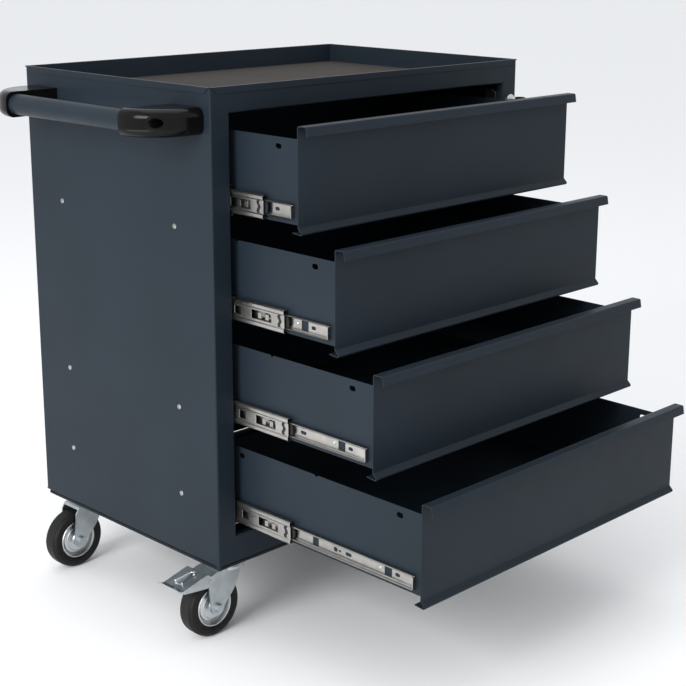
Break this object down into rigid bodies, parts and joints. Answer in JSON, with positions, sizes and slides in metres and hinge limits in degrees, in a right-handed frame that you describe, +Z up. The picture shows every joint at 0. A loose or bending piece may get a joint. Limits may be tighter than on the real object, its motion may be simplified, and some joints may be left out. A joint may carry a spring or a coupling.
{
  "type": "rolling tool chest",
  "caption": "Sheet-steel tool chest on swivel casters, with drawers on ball-bearing slides, a matted tray on top, a key lock and a push handle on the left side.",
  "frame": {"origin": "on the floor under the tyres, below the middle of the whole object's box with the drawers as stored (pulled out)", "axes": "+Z up, out of the tray's mat; the drawers open towards -Y; the push handle is on the -X side and the lock on the +X side"},
  "size_m": [0.7826, 0.858, 0.859],
  "materials": {
    "paint": "dark blue-grey satin powder coat",
    "dark_paint": "near-black satin powder coat",
    "mat": "dark warm grey ribbed mat, matte",
    "slide_zinc": "bright zinc-plated steel",
    "caster_zinc": "bluish zinc-plated steel",
    "rim_zinc": "bright plated steel",
    "lock_metal": "bright plated",
    "elbow_black": "glossy black",
    "key_black": "black",
    "tyre_black": "black rubber with moulded lines"
  },
  "bodies": {
    "cabinet": {"left_side_panel": "paint", "right_side_panel": "paint", "back_panel": "paint", "front_top_rail": "paint", "front_bottom_rail": "paint", "base_pan": "dark_paint", "top_tray": "paint", "tray_mat": "mat", "slide_uprights": "dark_paint", "upright_rivets": "slide_zinc", "back_rivets": "slide_zinc", "slide_cabinet_members": "slide_zinc", "handle_tube": "paint", "handle_bracket_front": "elbow_black", "handle_bracket_rear": "elbow_black", "handle_screws": "slide_zinc", "lock_housing": "lock_metal", "lock_bar_guides": "dark_paint", "caster_plates": "caster_zinc", "caster_bolts": "caster_zinc"},
    "lock_core": {"lock_cylinder": "lock_metal", "key_blade": "lock_metal", "key_head": "key_black", "lock_cam": "slide_zinc"},
    "lock_bar": {"lock_bar": "slide_zinc"},
    "drawer_1": {"drawer_1_body": "paint", "drawer_1_front": "paint", "drawer_1_slide_inner": "slide_zinc"},
    "drawer_1_slides": {"drawer_1_slide_middle": "slide_zinc"},
    "drawer_2": {"drawer_2_body": "paint", "drawer_2_front": "paint", "drawer_2_slide_inner": "slide_zinc"},
    "drawer_2_slides": {"drawer_2_slide_middle": "slide_zinc"},
    "drawer_3": {"drawer_3_body": "paint", "drawer_3_front": "paint", "drawer_3_slide_inner": "slide_zinc"},
    "drawer_3_slides": {"drawer_3_slide_middle": "slide_zinc"},
    "drawer_4": {"drawer_4_body": "paint", "drawer_4_front": "paint", "drawer_4_slide_inner": "slide_zinc"},
    "drawer_4_slides": {"drawer_4_slide_middle": "slide_zinc"},
    "front_left_caster": {"front_left_caster_fork": "caster_zinc", "front_left_caster_axle": "caster_zinc"},
    "front_left_wheel": {"front_left_caster_rim": "rim_zinc", "front_left_caster_tyre": "tyre_black"},
    "front_left_pedal": {"front_left_brake_pedal": "caster_zinc"},
    "front_right_caster": {"front_right_caster_fork": "caster_zinc", "front_right_caster_axle": "caster_zinc"},
    "front_right_wheel": {"front_right_caster_rim": "rim_zinc", "front_right_caster_tyre": "tyre_black"},
    "front_right_pedal": {"front_right_brake_pedal": "caster_zinc"},
    "back_left_caster": {"back_left_caster_fork": "caster_zinc", "back_left_caster_axle": "caster_zinc"},
    "back_left_wheel": {"back_left_caster_rim": "rim_zinc", "back_left_caster_tyre": "tyre_black"},
    "back_right_caster": {"back_right_caster_fork": "caster_zinc", "back_right_caster_axle": "caster_zinc"},
    "back_right_wheel": {"back_right_caster_rim": "rim_zinc", "back_right_caster_tyre": "tyre_black"}
  },
  "joints": [
    {"name": "drawer_1_slide", "type": "slide", "parent": "cabinet", "child": "drawer_1", "axis": [0, -1, 0], "range_m": [-0.139, 0.246]},
    {"name": "drawer_1_middle_slide", "type": "slide", "parent": "cabinet", "child": "drawer_1_slides", "axis": [0, -1, 0], "range_m": [-0.07301, 0.1293]},
    {"name": "drawer_2_slide", "type": "slide", "parent": "cabinet", "child": "drawer_2", "axis": [0, -1, 0], "range_m": [-0.212, 0.173]},
    {"name": "drawer_2_middle_slide", "type": "slide", "parent": "cabinet", "child": "drawer_2_slides", "axis": [0, -1, 0], "range_m": [-0.11501, 0.0939]},
    {"name": "drawer_3_slide", "type": "slide", "parent": "cabinet", "child": "drawer_3", "axis": [0, -1, 0], "range_m": [-0.286, 0.099]},
    {"name": "drawer_3_middle_slide", "type": "slide", "parent": "cabinet", "child": "drawer_3_slides", "axis": [0, -1, 0], "range_m": [-0.12201, 0.0423]},
    {"name": "drawer_4_slide", "type": "slide", "parent": "cabinet", "child": "drawer_4", "axis": [0, -1, 0], "range_m": [-0.378, 0.007]},
    {"name": "drawer_4_middle_slide", "type": "slide", "parent": "cabinet", "child": "drawer_4_slides", "axis": [0, -1, 0], "range_m": [-0.12501, 0.0024]},
    {"name": "lock_turn", "type": "hinge", "parent": "cabinet", "child": "lock_core", "pos_m": [0.372, -0.03248, 0.789], "axis": [0, 1, 0], "range_deg": [0, 90]},
    {"name": "lock_bar_drop", "type": "slide", "parent": "cabinet", "child": "lock_bar", "axis": [0, 0, -1], "range_m": [0, 0.01414]},
    {"name": "front_left_swivel", "type": "hinge", "parent": "cabinet", "child": "front_left_caster", "pos_m": [-0.24075, 0.01492, 0.11], "axis": [0, 0, 1], "continuous": true},
    {"name": "front_left_roll", "type": "hinge", "parent": "front_left_caster", "child": "front_left_wheel", "pos_m": [-0.27855, 0.01492, 0.05], "axis": [0, 1, 0], "continuous": true},
    {"name": "front_left_brake", "type": "hinge", "parent": "front_left_caster", "child": "front_left_pedal", "pos_m": [-0.29475, 0.01492, 0.0987], "axis": [0, -1, 0], "range_deg": [0, 8]},
    {"name": "front_right_swivel", "type": "hinge", "parent": "cabinet", "child": "front_right_caster", "pos_m": [0.33425, 0.01492, 0.11], "axis": [0, 0, 1], "continuous": true},
    {"name": "front_right_roll", "type": "hinge", "parent": "front_right_caster", "child": "front_right_wheel", "pos_m": [0.29645, 0.01492, 0.05], "axis": [0, 1, 0], "continuous": true},
    {"name": "front_right_brake", "type": "hinge", "parent": "front_right_caster", "child": "front_right_pedal", "pos_m": [0.28025, 0.01492, 0.0987], "axis": [0, -1, 0], "range_deg": [0, 8]},
    {"name": "back_left_swivel", "type": "hinge", "parent": "cabinet", "child": "back_left_caster", "pos_m": [-0.24075, 0.38012, 0.11], "axis": [0, 0, 1], "continuous": true},
    {"name": "back_left_roll", "type": "hinge", "parent": "back_left_caster", "child": "back_left_wheel", "pos_m": [-0.27855, 0.38012, 0.05], "axis": [0, 1, 0], "continuous": true},
    {"name": "back_right_swivel", "type": "hinge", "parent": "cabinet", "child": "back_right_caster", "pos_m": [0.33425, 0.38012, 0.11], "axis": [0, 0, 1], "continuous": true},
    {"name": "back_right_roll", "type": "hinge", "parent": "back_right_caster", "child": "back_right_wheel", "pos_m": [0.29645, 0.38012, 0.05], "axis": [0, 1, 0], "continuous": true}
  ],
  "couplings": [
    {"joint": "drawer_1_middle_slide", "follows": "drawer_1_slide", "ratio": 0.52518},
    {"joint": "drawer_2_middle_slide", "follows": "drawer_2_slide", "ratio": 0.54245},
    {"joint": "drawer_3_middle_slide", "follows": "drawer_3_slide", "ratio": 0.42657},
    {"joint": "drawer_4_middle_slide", "follows": "drawer_4_slide", "ratio": 0.33069},
    {"joint": "lock_turn", "follows": "lock_bar_drop", "rad_per_m": 111.07}
  ]
}
